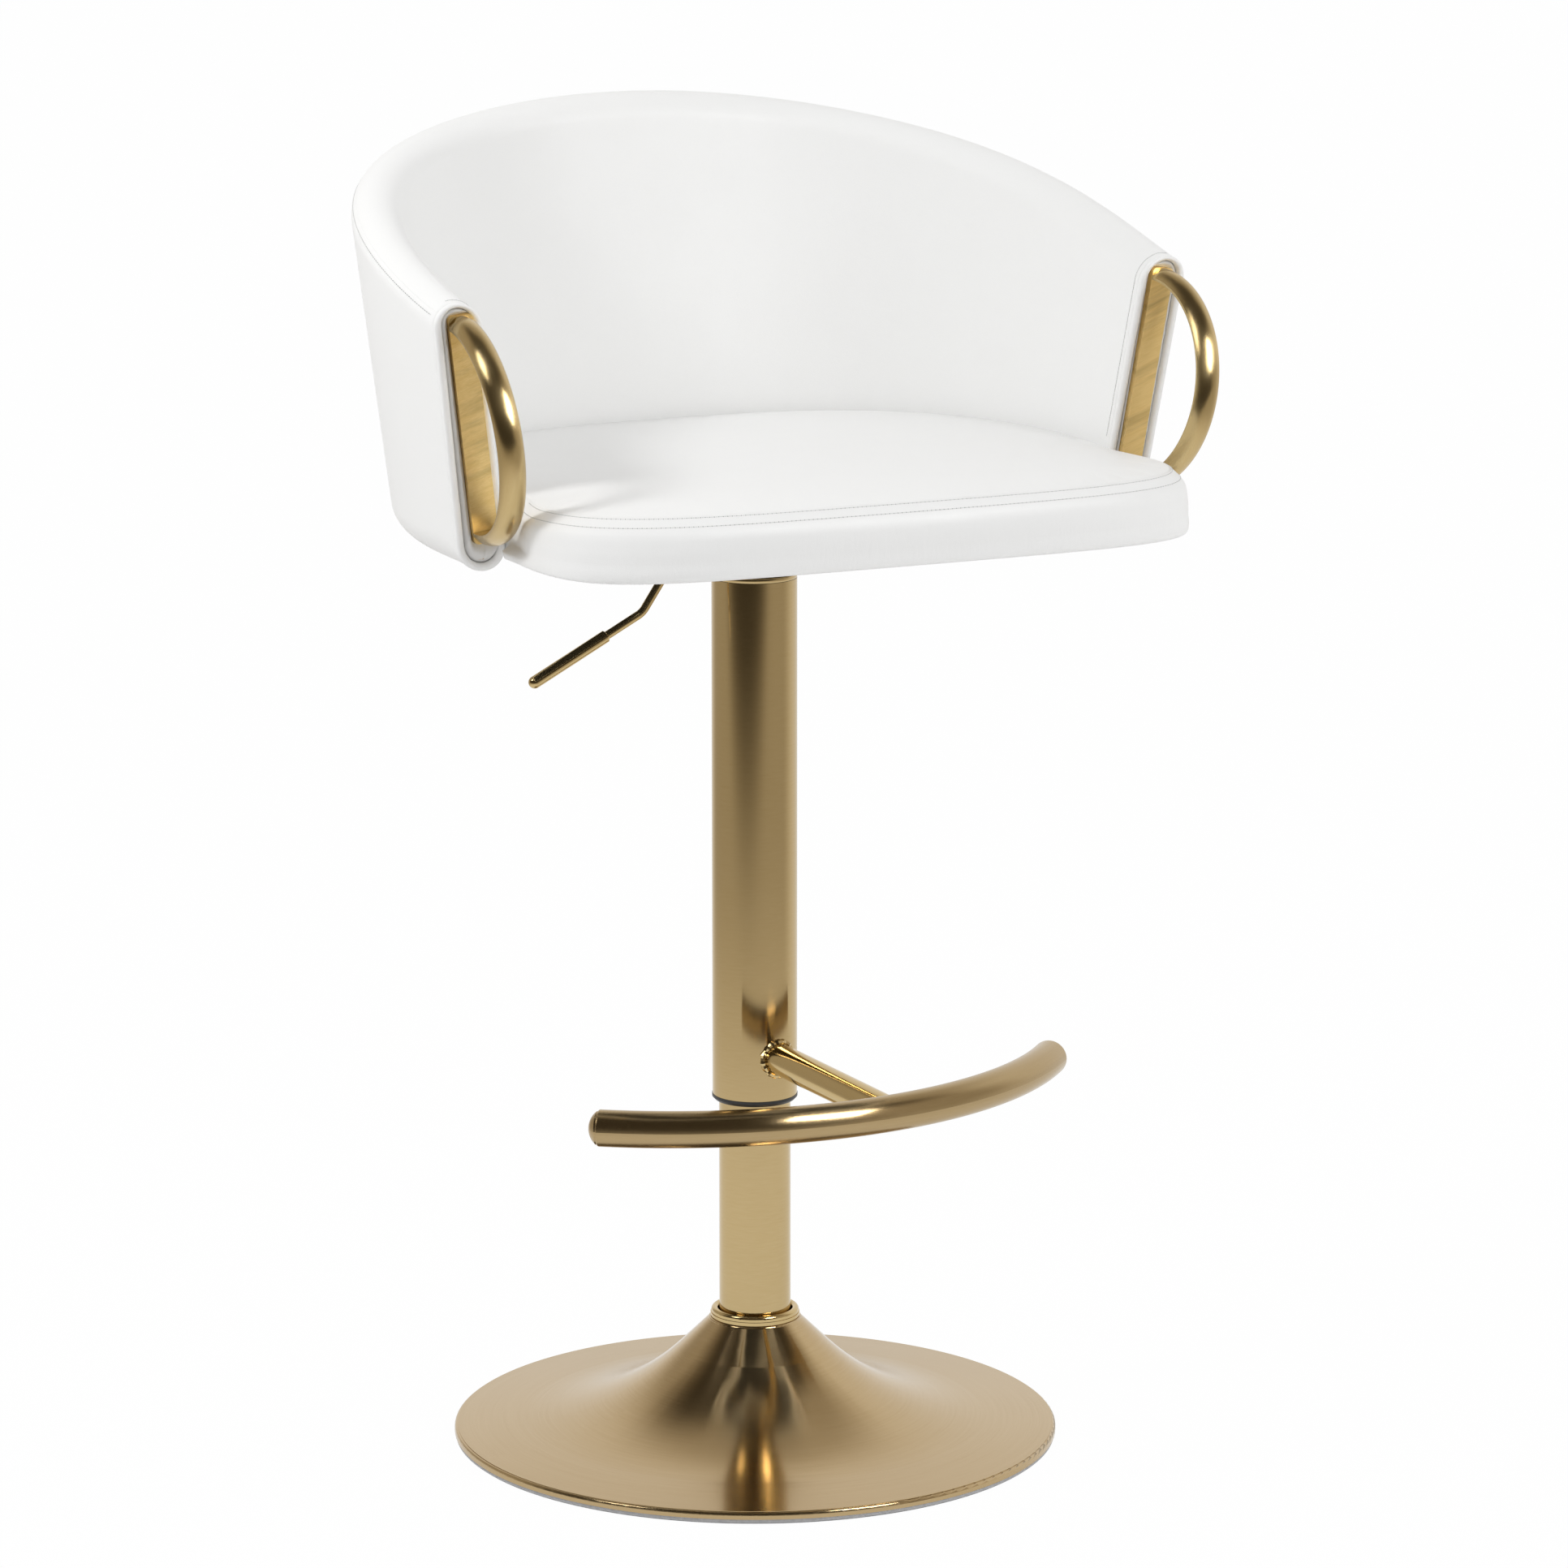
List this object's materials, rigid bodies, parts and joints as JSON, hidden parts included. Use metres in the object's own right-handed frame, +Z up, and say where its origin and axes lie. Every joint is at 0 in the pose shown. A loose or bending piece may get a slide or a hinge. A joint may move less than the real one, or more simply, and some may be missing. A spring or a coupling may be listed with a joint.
{
  "type": "bar stool",
  "caption": "Height-adjustable swivel bar stool with a padded wraparound back, D-shaped arm handles, a curved footrest and a round weighted base.",
  "frame": {"origin": "floor level, on the column axis, at the centre of the base's floor ring", "axes": "+Z up along the column, -Y towards the front of the seat, +X to the right of someone who looks at the front"},
  "size_m": [0.5748, 0.4816, 0.9395],
  "materials": {
    "brushed_gold": "satin brushed gold plate on steel",
    "white_leather": "soft matte white synthetic leather, fine grain",
    "plywood": "plain sanded plywood",
    "zinc_steel": "zinc plated",
    "black_plastic": "matte moulded",
    "black_steel": "semi-gloss black",
    "weight_iron": "black primed",
    "grey_rubber": "matte grey",
    "black_cloth": "thin non-woven cloth",
    "brass_insert": "plain turned"
  },
  "bodies": {
    "base": {"floor_ring": "grey_rubber", "base_weight": "weight_iron", "base_hub": "weight_iron", "base_shell": "brushed_gold", "base_collar": "brushed_gold", "stand_tube": "brushed_gold", "tube_foot": "zinc_steel", "guide_bush": "black_plastic", "thrust_race_lower": "zinc_steel", "thrust_cage": "zinc_steel"},
    "rod": {"thrust_race_upper": "zinc_steel", "piston_rod": "zinc_steel", "piston": "black_plastic", "rod_clip": "zinc_steel"},
    "seat": {"gas_cylinder": "black_steel", "rod_guide": "zinc_steel", "outer_tube": "brushed_gold", "tube_top_disc": "zinc_steel", "tube_end_ring": "black_plastic", "footrest_strut": "brushed_gold", "strut_weld": "brushed_gold", "footrest_bar": "brushed_gold", "footrest_caps": "brushed_gold", "seat_plate": "zinc_steel", "lever_channel": "zinc_steel", "taper_socket": "zinc_steel", "lever_pin": "zinc_steel", "mount_bolts": "zinc_steel", "tee_nuts": "zinc_steel", "seat_board": "plywood", "dust_cover": "black_cloth", "seat_cushion": "white_leather", "back_brackets": "zinc_steel", "bracket_screws": "zinc_steel", "back_core": "plywood", "arm_post_left": "plywood", "arm_post_right": "plywood", "post_dowels": "plywood", "stud_inserts": "brass_insert", "handle_studs": "zinc_steel", "handle_plate_left": "brushed_gold", "handle_plate_right": "brushed_gold", "handle_arch_left": "brushed_gold", "handle_arch_right": "brushed_gold", "inner_upholstery": "white_leather", "outer_upholstery": "white_leather", "arm_trim_left": "white_leather", "arm_trim_right": "white_leather"},
    "lever": {"lever_rod": "brushed_gold", "lever_grip": "brushed_gold"},
    "release_pin": {"release_pin": "zinc_steel"}
  },
  "joints": [
    {"name": "swivel", "type": "hinge", "parent": "base", "child": "rod", "pos_m": [0, 0, 0.02], "axis": [0, 0, 1], "continuous": true},
    {"name": "height", "type": "slide", "parent": "rod", "child": "seat", "axis": [0, 0, 1], "range_m": [-0.13, 0.08]},
    {"name": "lever", "type": "hinge", "parent": "seat", "child": "lever", "pos_m": [-0.027, 0, 0.6507], "axis": [0, 1, 0], "range_deg": [0, 6.5], "stiffness_Nm_per_rad": 0.8, "springref_deg": -6.88},
    {"name": "release", "type": "slide", "parent": "seat", "child": "release_pin", "axis": [0, 0, 1], "range_m": [-0.0034, 0]}
  ],
  "couplings": [
    {"joint": "release", "follows": "lever", "m_per_rad": -0.029}
  ]
}
